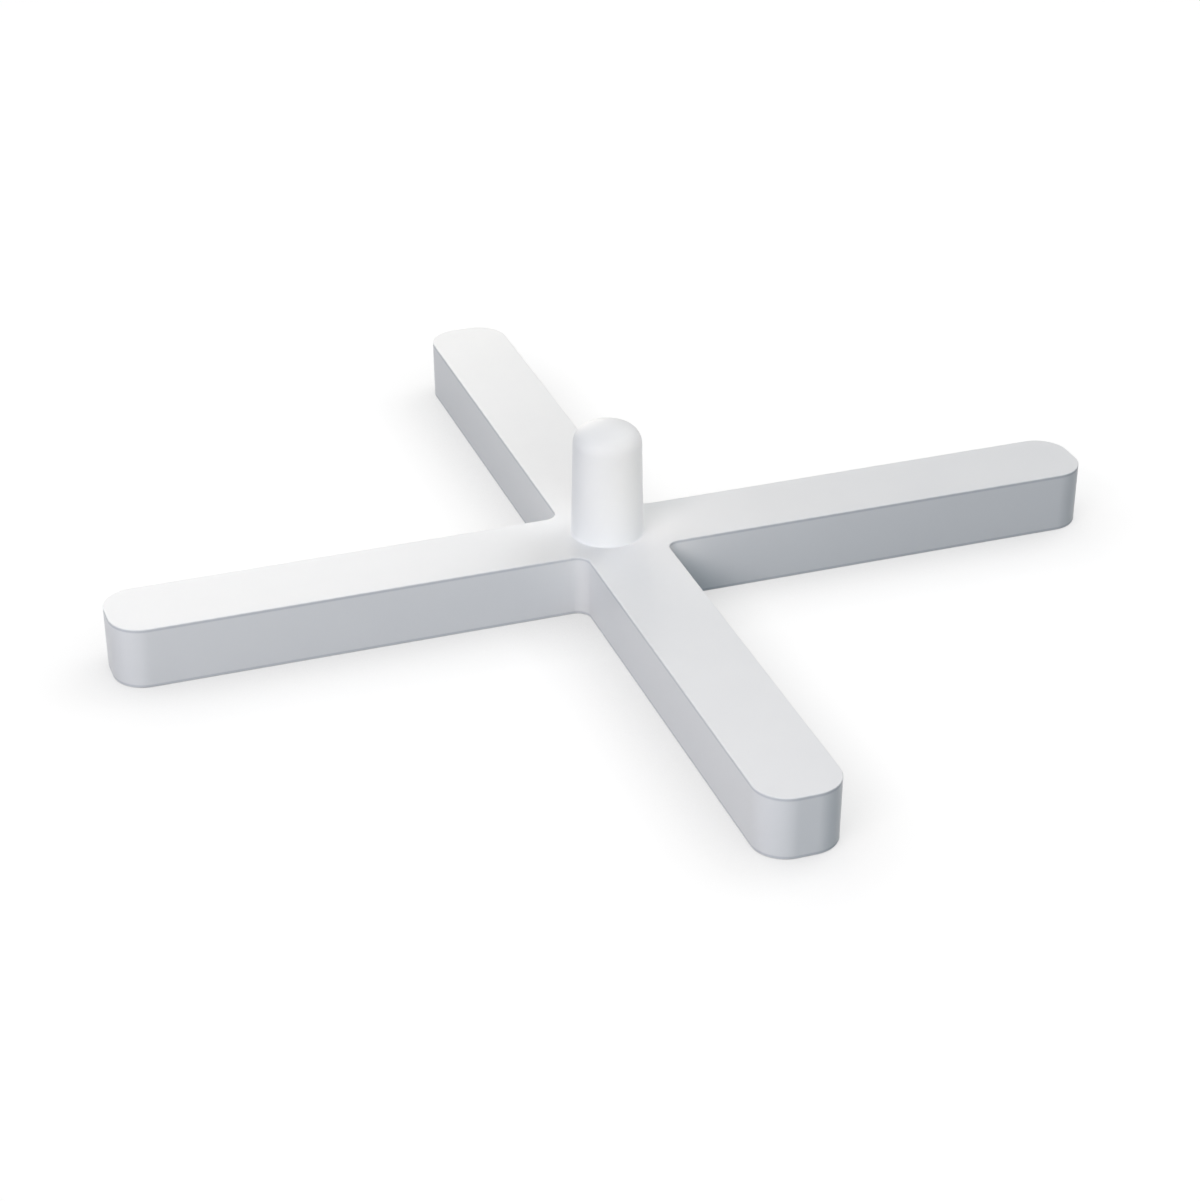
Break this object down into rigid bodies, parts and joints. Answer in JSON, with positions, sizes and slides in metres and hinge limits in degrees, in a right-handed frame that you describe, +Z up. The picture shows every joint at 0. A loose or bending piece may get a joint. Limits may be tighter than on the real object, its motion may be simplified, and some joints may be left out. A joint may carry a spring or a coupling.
{
  "type": "tile spacer",
  "caption": "Cross-shaped moulded plastic tile spacer with round-cornered arms and a domed pulling peg standing at the crossing.",
  "frame": {"origin": "centre of the crossing on the underside, at the middle of the four arms", "axes": "+Z up along the peg, +X along the arm on the right of the picture, +Y along the arm at the back"},
  "size_m": [0.0364, 0.0364, 0.0066],
  "materials": {
    "white_plastic": "satin white moulded plastic"
  },
  "bodies": {
    "root": {"tile_spacer": "white_plastic"}
  },
  "joints": []
}
